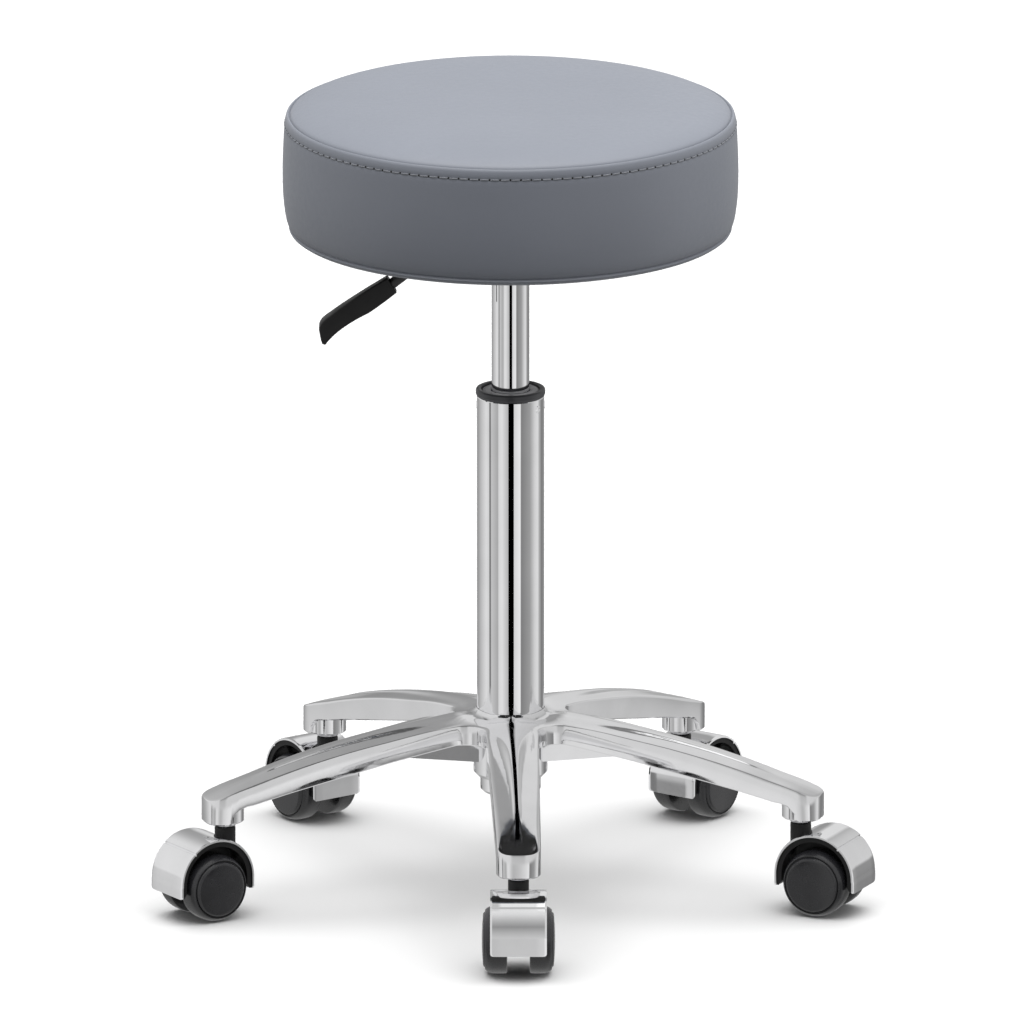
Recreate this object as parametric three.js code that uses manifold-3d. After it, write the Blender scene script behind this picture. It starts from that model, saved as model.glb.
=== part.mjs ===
// Round height-adjustable stool: padded seat, gas spring column and a cast five-arm base on casters.
// Millimetres, +Z up. The origin is on the floor, at the middle of the footprint's box.
import * as THREE from "three";
import { mergeVertices } from "three/addons/utils/BufferGeometryUtils.js";
import Module from "manifold-3d";

const wasm = await Module();
wasm.setup();

// ---- driving dimensions ----
const COLUMN_X = -2.3; // the column's axis, seen from the middle of the footprint
const COLUMN_Y = 18.4;
const FIT = 0.3; // gap between touching or sliding pieces

const ARM_COUNT = 5;
const ARM_TURN_DEG = 1.5; // how far the front arm is turned from -Y
const STEM_CIRCLE = 224; // radius of the circle of caster stems
const ARM_TIP_RADIUS = 16.5;
const ARM_END = 241;
const ARM_HUB_HALF_WIDTH = 19.5;
const ARM_HUB_REACH = 50; // where the arm has its hub half width
const WEB_FILLET = 16;
const BOSS_BOTTOM = 69.5;
const SOCKET_RADIUS = 14;
const CHANNEL_WIDTH = 26;
const KEEL_WIDTH = 12;
const HUB_TOP = 137;
const HUB_BOTTOM = 85;
const HUB_BOSS_RADIUS = 27.4;

const TUBE_RADIUS = 25;
const TUBE_WALL = 1.6;
const TUBE_TOP = 372.5;
const TUBE_BOTTOM = 72.5;
const TAPER_TOP = 136;
const TAPER_BOTTOM = 83;
const TAPER_END_RADIUS = 22.4;
const COLLAR_RADIUS = 25.75;
const COLLAR_TOP = 381;
const BUSH_BOTTOM = 275;
const BALL_COUNT = 6;
const BALL_RADIUS = 2;

const INNER_TUBE_RADIUS = 14;
const INNER_TUBE_BORE = 12.4;
const INNER_TUBE_BOTTOM = 190;
const INNER_TUBE_TOP = 482;
const ROD_RADIUS = 5;
const ROD_END_RADIUS = 4;
const ROD_BOTTOM = 66;
const PISTON_BOTTOM = 272.5;
const PISTON_TOP = 284;
const RELEASE_PIN_RADIUS = 3;
const RELEASE_PIN_TOP = 487.2;

const SEAT_BOTTOM = 500;
const SEAT_TOP = 600;
const SEAT_RADIUS = 168.6;
const SEAM_RADIUS = 163;
const SEAM_HEIGHT = 590;
const COVER_THICKNESS = 1.2;
const BOARD_RADIUS = 154;
const BOARD_THICKNESS = 11.8;
const TURNED_EDGE_RADIUS = 140;
const PLATE_LENGTH = 160;
const PLATE_WIDTH = 130;
const PLATE_BOTTOM = 496.5;
const PLATE_THICKNESS = 3;
const BOLT_X = 66;
const BOLT_Y = 51;
const BOLT_RADIUS = 3;
const BOLT_HEAD_RADIUS = 6;
const HOUSING_LENGTH = 76;
const HOUSING_WIDTH = 53;
const HOUSING_BOTTOM = 468;
const HOUSING_WALL = 2.5;
const SOCKET_TUBE_RADIUS = 19;

const LEVER_ROD_RADIUS = 4;
const LEVER_PIVOT_X = -30;
const LEVER_PIVOT_Z = 488.9;
const LEVER_PIN_RADIUS = 1.8;
const GRIP_WIDTH = 16;

const WHEEL_RADIUS = 25;
const WHEEL_INNER = 8.3; // the wheel's inner face, from the caster's middle plane
const WHEEL_OUTER = 27;
const CASTER_TRAIL = 19.5;
const AXLE_RADIUS = 3;
const AXLE_HALF_LENGTH = 24;
const HOOD_RADIUS = 32;
const HOOD_THICKNESS = 1.5;
const HOOD_CENTRE_Z = 30;
const HOOD_SKIRT_Z = 20.5;
const HOOD_WIDTH = 41.8;
const LINER_RADIUS = 26.2;
const NECK_RADIUS = 7.75;
const NECK_TOP = 66;
const WEB_WIDTH = 15.4;
const STEM_RADIUS = 5.5;
const STEM_TAIL_RADIUS = 4;
const STEM_COLLAR_RADIUS = 8;
const CASTER_HEADINGS_DEG = [-90, -24, 54, 126, 213]; // the way each caster trails, seen from above

// ---- materials ----
const finish = (color, metalness, roughness) => ({ color, metalness, roughness });
const CHROME = finish(0xdcdde0, 1, 0.08);
const POLISHED_ALUMINIUM = finish(0xc9cacd, 1, 0.22);
const STEEL = finish(0x9a9ca0, 0.9, 0.4);
const BLACK_STEEL = finish(0x1b1b1d, 0.3, 0.5);
const BLACK_PLASTIC = finish(0x18181b, 0, 0.5);
const GREY_PLASTIC = finish(0x8e9094, 0, 0.6);
const BRASS = finish(0xb6924a, 0.9, 0.35);
const RUBBER = finish(0x151515, 0, 0.85);
const PLYWOOD = finish(0xb98f5f, 0, 0.7);
const FOAM = finish(0xe9e2c8, 0, 0.95);
const LEATHER = finish(0x7b7f89, 0, 0.55);
const BLACK_FABRIC = finish(0x202022, 0, 0.95);

// ---- geometry helpers ----
const radians = THREE.MathUtils.degToRad;

function bare(geometry) {
  const copy = geometry.clone();
  copy.deleteAttribute("normal");
  copy.deleteAttribute("uv");
  return mergeVertices(copy, 1e-3);
}

function toSolid(geometry) {
  const merged = bare(geometry);
  const vertProperties = new Float32Array(merged.attributes.position.array);
  const triVerts = new Uint32Array(merged.index.array);
  return new wasm.Manifold(new wasm.Mesh({ numProp: 3, vertProperties, triVerts }));
}

function toGeometry(solid) {
  const { vertProperties, triVerts, numProp } = solid.getMesh();
  const geometry = new THREE.BufferGeometry();
  const buffer = new THREE.InterleavedBuffer(vertProperties, numProp);
  geometry.setAttribute("position", new THREE.InterleavedBufferAttribute(buffer, 3, 0));
  geometry.setIndex(Array.from(triVerts));
  geometry.computeVertexNormals();
  return geometry;
}

const join = (first, ...others) => others.reduce((sum, other) => sum.add(other), first);
const cut = (first, ...others) => others.reduce((rest, other) => rest.subtract(other), first);

// a solid of revolution about Z, from [radius, z] points taken anticlockwise
function turned(profile, segments = 24) {
  const points = profile.map(([radius, z]) => new THREE.Vector2(radius, z));
  return new THREE.LatheGeometry(points, segments).rotateX(Math.PI / 2);
}

// a ring with square edges
function ring(innerRadius, outerRadius, bottom, top, segments = 24) {
  const corners = [[innerRadius, bottom], [outerRadius, bottom], [outerRadius, top], [innerRadius, top]];
  return turned([...corners, corners[0]], segments);
}

function rod(radius, bottom, top, segments = 16) {
  return turned([[0, bottom], [radius, bottom], [radius, top], [0, top]], segments);
}

// a shape drawn in X and Z, thickened along Y on both sides of the middle plane
function sideways(shape, width, curveSegments = 3) {
  const geometry = new THREE.ExtrudeGeometry(shape, { depth: width, bevelEnabled: false, curveSegments });
  return geometry.translate(0, 0, -width / 2).rotateX(Math.PI / 2);
}

function upright(shape, bottom, height, curveSegments = 4) {
  const geometry = new THREE.ExtrudeGeometry(shape, { depth: height, bevelEnabled: false, curveSegments });
  return geometry.translate(0, 0, bottom);
}

function outline(points) {
  return new THREE.Shape(points.map(([x, y]) => new THREE.Vector2(x, y)));
}

const vectors = (points) => points.map(([x, y]) => new THREE.Vector2(x, y));

function box(width, depth, bottom, top, x = 0, y = 0) {
  return new THREE.BoxGeometry(width, depth, top - bottom).translate(x, y, (bottom + top) / 2);
}

const stool = new THREE.Group();
const usedNames = new Set();

function piece(name, geometry, look, parent = stool) {
  if (usedNames.has(name)) throw new Error(`two pieces are called ${name}`);
  usedNames.add(name);
  const mesh = new THREE.Mesh(geometry, new THREE.MeshStandardMaterial(look));
  mesh.name = name;
  parent.add(mesh);
  return mesh;
}

const armAngle = (index) => radians(-90 + ARM_TURN_DEG + (index * 360) / ARM_COUNT);

// ---- cast five-arm base ----
const taper = Math.atan((ARM_HUB_HALF_WIDTH - ARM_TIP_RADIUS) / (STEM_CIRCLE - ARM_HUB_REACH));

// the star seen from above: each arm's round tip, then the fillet to the next arm
function starPlan() {
  const step = (2 * Math.PI) / ARM_COUNT;
  const halfWidthAtAxis = ARM_TIP_RADIUS / Math.cos(taper) + STEM_CIRCLE * Math.tan(taper);
  const filletDistance = (halfWidthAtAxis * Math.cos(taper) + WEB_FILLET) / Math.sin(step / 2 + taper);
  const quarter = Math.PI / 2;
  const shape = new THREE.Shape();
  for (let index = 0; index < ARM_COUNT; index += 1) {
    const angle = armAngle(index);
    const tipX = STEM_CIRCLE * Math.cos(angle);
    const tipY = STEM_CIRCLE * Math.sin(angle);
    shape.absarc(tipX, tipY, ARM_TIP_RADIUS, angle - quarter + taper, angle + quarter - taper, false);
    const webX = filletDistance * Math.cos(angle + step / 2);
    const webY = filletDistance * Math.sin(angle + step / 2);
    shape.absarc(webX, webY, WEB_FILLET, angle - quarter - taper, angle + step + quarter + taper, true);
  }
  return shape;
}

// one arm seen from the side, X being the distance from the column's axis
function armSide() {
  const shape = new THREE.Shape();
  shape.moveTo(20, 116);
  shape.lineTo(ARM_HUB_REACH, 115.5);
  shape.splineThru(vectors([[100, 107], [180, 90], [212, 82]]));
  shape.quadraticCurveTo(224, 79, 226, BOSS_BOTTOM);
  shape.lineTo(ARM_END - 3, BOSS_BOTTOM);
  shape.lineTo(ARM_END, BOSS_BOTTOM + 3);
  shape.lineTo(ARM_END, 87);
  shape.lineTo(232, 91.6);
  shape.splineThru(vectors([[195, 103.5], [150, 116], [100, 126], [ARM_HUB_REACH, 132]]));
  shape.lineTo(20, 134);
  return shape;
}

function channelSide() {
  const shape = outline([[62, 90], [202, 60], [202, 96.5]]);
  shape.splineThru(vectors([[150, 111.5], [100, 121.5], [62, 126.5]]));
  return shape;
}

const keelSide = () => outline([[22, 97], [86, 106.5], [86, 122], [22, 128]]);

function starBase() {
  const onArm = (geometry, index) => toSolid(geometry.clone().rotateZ(armAngle(index)));
  const indices = Array.from({ length: ARM_COUNT }, (_, index) => index);
  const everyArm = (geometry) => join(...indices.map((index) => onArm(geometry, index)));
  const flare = [[0, 112], [52, 115], [52, 131.4], [34, 134], [26.6, HUB_TOP], [0, HUB_TOP]];
  const hubSkin = toSolid(turned(flare, 30));
  const plan = toSolid(upright(starPlan(), 60, 80, 3));
  const arms = join(everyArm(sideways(armSide(), 50, 2)), hubSkin).intersect(plan);
  const hollow = cut(arms, everyArm(sideways(channelSide(), CHANNEL_WIDTH, 2)));
  const boss = rod(SOCKET_RADIUS, BOSS_BOTTOM, 87, 16).translate(STEM_CIRCLE, 0, 0);
  const lowerHub = [[0, HUB_BOTTOM], [24.6, HUB_BOTTOM], [HUB_BOSS_RADIUS, HUB_BOTTOM + 3]];
  const hub = toSolid(turned([...lowerHub, [HUB_BOSS_RADIUS, 120], [0, 120]], 24));
  const ribs = everyArm(sideways(keelSide(), KEEL_WIDTH));
  const full = join(hollow, hub, ribs, everyArm(boss));
  const boreEnd = TAPER_END_RADIUS + FIT;
  const boreTop = TUBE_RADIUS + FIT;
  const boreSide = [[boreEnd, 60], [boreEnd, TAPER_BOTTOM], [boreTop, TAPER_TOP], [boreTop, 160]];
  const bore = toSolid(turned([[0, 60], ...boreSide, [0, 160]], 24));
  const stemHole = rod(STEM_RADIUS + FIT, 60, 85, 12).translate(STEM_CIRCLE, 0, 0);
  return toGeometry(cut(full, bore, everyArm(stemHole)));
}

piece("star_base", starBase(), POLISHED_ALUMINIUM);

// ---- gas spring: fixed pieces ----
function columnTube() {
  const corner = [[20, TUBE_BOTTOM], [TAPER_END_RADIUS, TUBE_BOTTOM + 2.4]];
  const outside = [...corner, [TAPER_END_RADIUS, TAPER_BOTTOM]];
  const inside = outside.slice(1).reverse().map(([radius, z]) => [radius - TUBE_WALL, z + 1]);
  const top = [[TUBE_RADIUS, TAPER_TOP], [TUBE_RADIUS, TUBE_TOP]];
  const bore = top.slice().reverse().map(([radius, z]) => [radius - TUBE_WALL, z]);
  const hole = ROD_END_RADIUS + 2 * FIT;
  const start = [hole, TUBE_BOTTOM];
  return turned([start, ...outside, ...top, ...bore, ...inside, [hole, TUBE_BOTTOM + 3.4], start]);
}

function columnCollar() {
  const inner = INNER_TUBE_RADIUS + 2 * FIT;
  const bottom = TUBE_TOP + FIT;
  const lip = [[COLLAR_RADIUS, bottom], [COLLAR_RADIUS, COLLAR_TOP - 1], [COLLAR_RADIUS - 1, COLLAR_TOP]];
  const floor = COLLAR_TOP - 1.5;
  const recess = [[23.4, COLLAR_TOP], [23.4, floor], [17, floor], [17, COLLAR_TOP - 0.4]];
  return turned([[inner, bottom], ...lip, ...recess, [inner, COLLAR_TOP - 0.4], [inner, bottom]]);
}

const washerTop = TUBE_BOTTOM + 3.4 + FIT + 2;
const cageTop = washerTop + FIT + 4;
const bearingTop = cageTop + FIT + 2;

function ballCage() {
  const middle = (washerTop + FIT + cageTop) / 2;
  const balls = Array.from({ length: BALL_COUNT }, (_, index) => {
    const ball = new THREE.IcosahedronGeometry(BALL_RADIUS, 0).translate(9.5, 0, 0);
    return toSolid(ball.rotateZ((index * 2 * Math.PI) / BALL_COUNT).translate(0, 0, middle));
  });
  const cage = toSolid(ring(6.5, 12.5, middle - 1, middle + 1, 16));
  return toGeometry(join(cage, ...balls));
}

const bushInner = INNER_TUBE_RADIUS + FIT;
const bushOuter = TUBE_RADIUS - TUBE_WALL - FIT;
const washerInner = ROD_END_RADIUS + FIT;
piece("column_tube", columnTube(), CHROME);
piece("column_collar", columnCollar(), BLACK_PLASTIC);
piece("guide_bush", ring(bushInner, bushOuter, BUSH_BOTTOM, TUBE_TOP), GREY_PLASTIC);
piece("thrust_washer_lower", ring(washerInner, 13, washerTop - 2, washerTop, 16), STEEL);
piece("ball_cage", ballCage(), BRASS);

// ---- gas spring: pieces that turn with the rod ----
function pistonRod() {
  const foot = [[0, ROD_BOTTOM], [ROD_END_RADIUS, ROD_BOTTOM], [ROD_END_RADIUS, bearingTop + FIT]];
  const shank = [[ROD_RADIUS, bearingTop + FIT], [ROD_RADIUS, PISTON_BOTTOM - FIT]];
  const head = [[ROD_END_RADIUS, PISTON_BOTTOM - FIT], [ROD_END_RADIUS, PISTON_TOP + 3], [0, PISTON_TOP + 3]];
  return turned([...foot, ...shank, ...head], 16);
}

const bufferBottom = bearingTop + 2 * FIT;
piece("thrust_washer_upper", ring(washerInner, 13, cageTop + FIT, bearingTop, 16), STEEL);
piece("rubber_buffer", ring(ROD_RADIUS + FIT, 12, bufferBottom, bufferBottom + 18, 16), RUBBER);
piece("piston_rod", pistonRod(), CHROME);
piece("piston", ring(ROD_END_RADIUS + FIT, INNER_TUBE_BORE - FIT, PISTON_BOTTOM, PISTON_TOP), STEEL);
piece("rod_clip", ring(ROD_END_RADIUS + FIT, 8, TUBE_BOTTOM - 2.5, TUBE_BOTTOM - FIT, 16), STEEL);

// ---- gas spring: pieces that rise and fall ----
function innerTube() {
  const top = [[INNER_TUBE_RADIUS, INNER_TUBE_TOP - 1], [INNER_TUBE_RADIUS - 1, INNER_TUBE_TOP]];
  const pinHole = RELEASE_PIN_RADIUS + FIT;
  const capBottom = INNER_TUBE_TOP - 4;
  const end = [[pinHole, INNER_TUBE_TOP], [pinHole, capBottom], [INNER_TUBE_BORE, capBottom]];
  const start = [INNER_TUBE_BORE, INNER_TUBE_BOTTOM];
  return turned([start, [INNER_TUBE_RADIUS, INNER_TUBE_BOTTOM], ...top, ...end, start]);
}

const valveTop = INNER_TUBE_TOP - 4 - FIT;
const pinBottom = valveTop - 20;
const insideTube = INNER_TUBE_BORE - FIT;
piece("pressure_tube", innerTube(), CHROME);
const rodGuide = ring(ROD_RADIUS + FIT, insideTube, INNER_TUBE_BOTTOM + 1, INNER_TUBE_BOTTOM + 20);
piece("rod_guide", rodGuide, BLACK_PLASTIC);
piece("valve_body", ring(RELEASE_PIN_RADIUS + FIT, insideTube, valveTop - 34, valveTop), BRASS);
piece("release_pin", rod(RELEASE_PIN_RADIUS, pinBottom, RELEASE_PIN_TOP, 12), STEEL);

// ---- seat mechanism ----
function roundedRectangle(length, width, radius) {
  const shape = new THREE.Shape();
  const x = length / 2 - radius;
  const y = width / 2 - radius;
  const quarter = Math.PI / 2;
  shape.absarc(x, y, radius, 0, quarter, false);
  shape.absarc(-x, y, radius, quarter, 2 * quarter, false);
  shape.absarc(-x, -y, radius, 2 * quarter, 3 * quarter, false);
  shape.absarc(x, -y, radius, 3 * quarter, 4 * quarter, false);
  return shape;
}

const boltPlaces = [[1, 1], [-1, 1], [-1, -1], [1, -1]].map(([x, y]) => [x * BOLT_X, y * BOLT_Y]);

function boltHoles(bottom, top) {
  return boltPlaces.map(([x, y]) => toSolid(rod(BOLT_RADIUS + FIT, bottom, top, 8).translate(x, y, 0)));
}

function seatPlate() {
  const plan = roundedRectangle(PLATE_LENGTH, PLATE_WIDTH, 14);
  const sheet = toSolid(upright(plan, PLATE_BOTTOM, PLATE_THICKNESS, 2));
  return toGeometry(cut(sheet, ...boltHoles(PLATE_BOTTOM - 5, SEAT_BOTTOM + 5)));
}

function mechanismHousing() {
  const top = PLATE_BOTTOM - FIT;
  const floor = HOUSING_BOTTOM + HOUSING_WALL;
  const block = toSolid(box(HOUSING_LENGTH, HOUSING_WIDTH, HOUSING_BOTTOM, top));
  const inside = box(HOUSING_LENGTH - 2 * HOUSING_WALL, HOUSING_WIDTH - 2 * HOUSING_WALL, floor, top + 5);
  const leverSlot = box(20, 2 * LEVER_ROD_RADIUS + 4, 477, top + 5, -HOUSING_LENGTH / 2);
  const socketHole = rod(SOCKET_TUBE_RADIUS + FIT, HOUSING_BOTTOM - 5, floor + 5, 24);
  const pinHole = rod(LEVER_PIN_RADIUS + FIT, -50, 50, 12).rotateX(Math.PI / 2);
  const pinBore = pinHole.translate(LEVER_PIVOT_X, 0, LEVER_PIVOT_Z);
  return toGeometry(cut(block, toSolid(inside), toSolid(leverSlot), toSolid(socketHole), toSolid(pinBore)));
}

function seatBolt() {
  const underPlate = PLATE_BOTTOM - FIT;
  const head = [[0, underPlate - 4], [BOLT_HEAD_RADIUS, underPlate - 4], [BOLT_HEAD_RADIUS, underPlate]];
  const shank = [[BOLT_RADIUS, underPlate], [BOLT_RADIUS, SEAT_BOTTOM + 10], [0, SEAT_BOTTOM + 10]];
  return turned([...head, ...shank], 8);
}

const socketTube = ring(INNER_TUBE_RADIUS + FIT, SOCKET_TUBE_RADIUS, HOUSING_BOTTOM - 2, INNER_TUBE_TOP - 1);
const pinReach = HOUSING_WIDTH / 2 + 1;
const pivotPin = rod(LEVER_PIN_RADIUS, -pinReach, pinReach, 10).rotateX(Math.PI / 2);
piece("seat_plate", seatPlate(), BLACK_STEEL);
piece("mechanism_housing", mechanismHousing(), BLACK_STEEL);
piece("taper_socket", socketTube, BLACK_STEEL);
piece("lever_pivot_pin", pivotPin.translate(LEVER_PIVOT_X, 0, LEVER_PIVOT_Z), STEEL);
boltPlaces.forEach(([x, y], index) => {
  piece(`seat_bolt_${index + 1}`, seatBolt(), STEEL).position.set(x, y, 0);
});

// ---- lever ----
const GRIP_ROOT = new THREE.Vector3(-87.5, 0, 460.2); // the middle of the grip's inner end
const GRIP_DIRECTION = new THREE.Vector3(-0.79, 0, -0.613).normalize();
const ROD_IN_GRIP = 14;

function leverRod() {
  const innerEnd = new THREE.Vector3(3, 0, 491.9);
  const bend = new THREE.Vector3(-54, 0, 486.7);
  const outerEnd = GRIP_ROOT.clone().addScaledVector(GRIP_DIRECTION, ROD_IN_GRIP);
  const beforeBend = innerEnd.clone().lerp(bend, 0.82);
  const afterBend = bend.clone().lerp(outerEnd, 0.2);
  const path = new THREE.CurvePath();
  path.add(new THREE.LineCurve3(innerEnd, beforeBend));
  path.add(new THREE.QuadraticBezierCurve3(beforeBend, bend, afterBend));
  path.add(new THREE.LineCurve3(afterBend, outerEnd));
  const section = new THREE.Shape();
  section.absarc(0, 0, LEVER_ROD_RADIUS, 0, 2 * Math.PI, false);
  const bar = new THREE.ExtrudeGeometry(section, { steps: 12, extrudePath: path, curveSegments: 4 });
  const hole = rod(LEVER_PIN_RADIUS + FIT, -20, 20, 12).rotateX(Math.PI / 2);
  return toGeometry(cut(toSolid(bar), toSolid(hole.translate(LEVER_PIVOT_X, 0, LEVER_PIVOT_Z))));
}

function leverGrip() {
  const shape = new THREE.Shape();
  shape.moveTo(-84, 454.3);
  shape.lineTo(-91, 466);
  shape.quadraticCurveTo(-116, 451, -137, 435);
  shape.quadraticCurveTo(-142, 431, -141.6, 426.4);
  shape.lineTo(-138.5, 414.4);
  shape.quadraticCurveTo(-127, 428, -104.7, 438.8);
  const hole = rod(LEVER_ROD_RADIUS + FIT, -5, ROD_IN_GRIP + 1, 12);
  const toGrip = new THREE.Quaternion().setFromUnitVectors(new THREE.Vector3(0, 0, 1), GRIP_DIRECTION);
  hole.applyQuaternion(toGrip).translate(GRIP_ROOT.x, GRIP_ROOT.y, GRIP_ROOT.z);
  return toGeometry(cut(toSolid(sideways(shape, GRIP_WIDTH, 4)), toSolid(hole)));
}

piece("lever_rod", leverRod(), BLACK_STEEL);
piece("lever_grip", leverGrip(), BLACK_PLASTIC);

// ---- padded seat ----
const boardBottom = SEAT_BOTTOM + COVER_THICKNESS + FIT;
const boardTop = boardBottom + BOARD_THICKNESS;

// the side and top of the cushion, from low on the wall to the axis
function cushionLine(inset) {
  const widest = SEAT_RADIUS - inset;
  const seam = [SEAM_RADIUS - inset, SEAM_HEIGHT - inset];
  const crown = [[139, 595 - inset], [60, SEAT_TOP - inset], [0, SEAT_TOP - inset]];
  return [[widest - 2, 514], [widest, 545], seam, ...crown];
}

function seatCover() {
  const lining = cushionLine(COVER_THICKNESS).reverse();
  const edgeTop = SEAT_BOTTOM + COVER_THICKNESS;
  const edgeInside = [[SEAT_RADIUS - 11, edgeTop], [TURNED_EDGE_RADIUS, edgeTop]];
  const corner = [[SEAT_RADIUS - 10, SEAT_BOTTOM], [SEAT_RADIUS - 4, SEAT_BOTTOM + 4]];
  const edge = [...edgeInside, [TURNED_EDGE_RADIUS, SEAT_BOTTOM], ...corner];
  return turned([...lining, ...edge, ...cushionLine(0)], 40);
}

function foamPad() {
  const inset = COVER_THICKNESS + FIT;
  return turned([[0, boardTop + FIT], [SEAT_RADIUS - inset - 3, boardTop + FIT], ...cushionLine(inset)], 40);
}

function seatBoard() {
  const disc = toSolid(rod(BOARD_RADIUS, boardBottom, boardTop, 32));
  return toGeometry(cut(disc, ...boltHoles(boardBottom - 5, boardTop + 5)));
}

function dustCover() {
  const disc = toSolid(rod(TURNED_EDGE_RADIUS - 2, SEAT_BOTTOM, boardBottom - FIT, 32));
  return toGeometry(cut(disc, ...boltHoles(SEAT_BOTTOM - 5, boardBottom + 5)));
}

piece("seat_board", seatBoard(), PLYWOOD);
piece("foam_pad", foamPad(), FOAM);
piece("seat_cover", seatCover(), LEATHER);
piece("dust_cover", dustCover(), BLACK_FABRIC);

// ---- casters: X is the way the caster trails, Y runs along the axle ----
// an arch with straight legs, its two ends on the level of bottom
function arch(outer, inner, bottom) {
  const shape = new THREE.Shape();
  shape.moveTo(CASTER_TRAIL + outer, bottom);
  shape.absarc(CASTER_TRAIL, HOOD_CENTRE_Z, outer, 0, Math.PI, false);
  shape.lineTo(CASTER_TRAIL - outer, bottom);
  shape.lineTo(CASTER_TRAIL - inner, bottom);
  shape.absarc(CASTER_TRAIL, HOOD_CENTRE_Z, inner, Math.PI, 0, true);
  shape.lineTo(CASTER_TRAIL + inner, bottom);
  return shape;
}

function casterHood() {
  const side = arch(HOOD_RADIUS, HOOD_RADIUS - HOOD_THICKNESS, HOOD_SKIRT_Z);
  const strip = toSolid(sideways(side, HOOD_WIDTH, 6));
  return toGeometry(cut(strip, toSolid(rod(NECK_RADIUS + FIT, HOOD_CENTRE_Z, NECK_TOP + 5, 12))));
}

function casterHousing() {
  const linerSide = arch(HOOD_RADIUS - HOOD_THICKNESS - FIT, LINER_RADIUS, HOOD_SKIRT_Z + 1);
  const liner = sideways(linerSide, HOOD_WIDTH - 2, 6);
  const web = outline([[-4, 42], [8, 14], [31, 14], [40, 50], [CASTER_TRAIL, 57], [4, 52]]);
  const neck = rod(NECK_RADIUS, 41, NECK_TOP, 12);
  const stemHole = rod(STEM_TAIL_RADIUS + FIT, 44, NECK_TOP + 5, 10);
  const axleHole = rod(AXLE_RADIUS + FIT, -20, 20, 10).rotateX(Math.PI / 2);
  axleHole.translate(CASTER_TRAIL, 0, WHEEL_RADIUS);
  const body = join(toSolid(liner), toSolid(sideways(web, WEB_WIDTH)), toSolid(neck));
  return toGeometry(cut(body, toSolid(stemHole), toSolid(axleHole)));
}

function casterWheel() {
  const inner = WHEEL_INNER;
  const outer = WHEEL_OUTER;
  const bore = AXLE_RADIUS + FIT;
  const boreEnd = AXLE_HALF_LENGTH + FIT;
  const innerFace = [[0, boreEnd], [bore, boreEnd], [bore, inner], [WHEEL_RADIUS, inner]];
  const outerFace = [[WHEEL_RADIUS, outer - 5.5], [WHEEL_RADIUS - 5, outer - 1], [0, outer]];
  return turned([...innerFace, ...outerFace], 20);
}

function casterStem() {
  const tail = [[0, 45], [STEM_TAIL_RADIUS, 45], [STEM_TAIL_RADIUS, NECK_TOP + FIT]];
  const collar = [[STEM_COLLAR_RADIUS, NECK_TOP + FIT], [STEM_COLLAR_RADIUS, BOSS_BOTTOM - FIT]];
  const shank = [[STEM_RADIUS, BOSS_BOTTOM - FIT], [STEM_RADIUS, 84], [0, 84]];
  return turned([...tail, ...collar, ...shank], 10);
}

CASTER_HEADINGS_DEG.forEach((heading, index) => {
  const number = index + 1;
  const angle = armAngle(index);
  const caster = new THREE.Group();
  caster.position.set(STEM_CIRCLE * Math.cos(angle), STEM_CIRCLE * Math.sin(angle), 0);
  caster.rotation.z = radians(heading);
  stool.add(caster);
  piece(`caster_stem_${number}`, casterStem(), STEEL, caster);
  piece(`caster_${number}_housing`, casterHousing(), BLACK_PLASTIC, caster);
  piece(`caster_${number}_hood`, casterHood(), CHROME, caster);
  const axle = rod(AXLE_RADIUS, -AXLE_HALF_LENGTH, AXLE_HALF_LENGTH, 10).rotateX(Math.PI / 2);
  piece(`caster_${number}_axle`, axle, STEEL, caster).position.set(CASTER_TRAIL, 0, WHEEL_RADIUS);
  for (const [side, turn] of [["left", -1], ["right", 1]]) {
    const wheel = piece(`caster_${number}_wheel_${side}`, casterWheel(), BLACK_PLASTIC, caster);
    wheel.position.set(CASTER_TRAIL, 0, WHEEL_RADIUS);
    wheel.rotation.x = (turn * Math.PI) / 2;
  }
});

stool.position.set(COLUMN_X, COLUMN_Y, 0);
stool.updateMatrixWorld(true);

export default stool;
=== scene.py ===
"""Looks of a round height-adjustable stool: padded leather seat, chrome gas spring, cast five-arm base.

Shapes are written in millimetres and turned into metres when each piece is made. Every piece is
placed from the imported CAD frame, whose column axis and caster stems give all the positions.
"""

import math

import bmesh
import bpy
import numpy as np
from mathutils import Matrix, Vector


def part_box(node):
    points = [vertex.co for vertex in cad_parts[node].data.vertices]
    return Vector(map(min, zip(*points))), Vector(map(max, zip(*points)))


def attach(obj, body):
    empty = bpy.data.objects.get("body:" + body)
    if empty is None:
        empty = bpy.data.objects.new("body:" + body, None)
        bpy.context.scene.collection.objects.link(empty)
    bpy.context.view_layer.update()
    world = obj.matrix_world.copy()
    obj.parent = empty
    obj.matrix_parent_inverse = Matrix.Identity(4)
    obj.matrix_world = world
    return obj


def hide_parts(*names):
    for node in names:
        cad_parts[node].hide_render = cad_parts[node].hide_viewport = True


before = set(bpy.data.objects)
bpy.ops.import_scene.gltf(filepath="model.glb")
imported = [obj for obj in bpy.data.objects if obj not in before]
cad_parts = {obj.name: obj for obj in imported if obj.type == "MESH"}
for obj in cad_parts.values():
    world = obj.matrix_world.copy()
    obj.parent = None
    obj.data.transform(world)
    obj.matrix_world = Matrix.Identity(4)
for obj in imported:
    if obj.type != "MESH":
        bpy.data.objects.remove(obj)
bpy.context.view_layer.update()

MM = 0.001
ARM_COUNT = 5
SEAT_BOLTS = 4
SECTOR = 2 * math.pi / ARM_COUNT
SHARP_DEG = 32
BEVEL_DEG = 30
DEGENERATE_M = 1e-6


def box_centre(node):
    low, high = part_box(node)
    return (low + high) / 2


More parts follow.
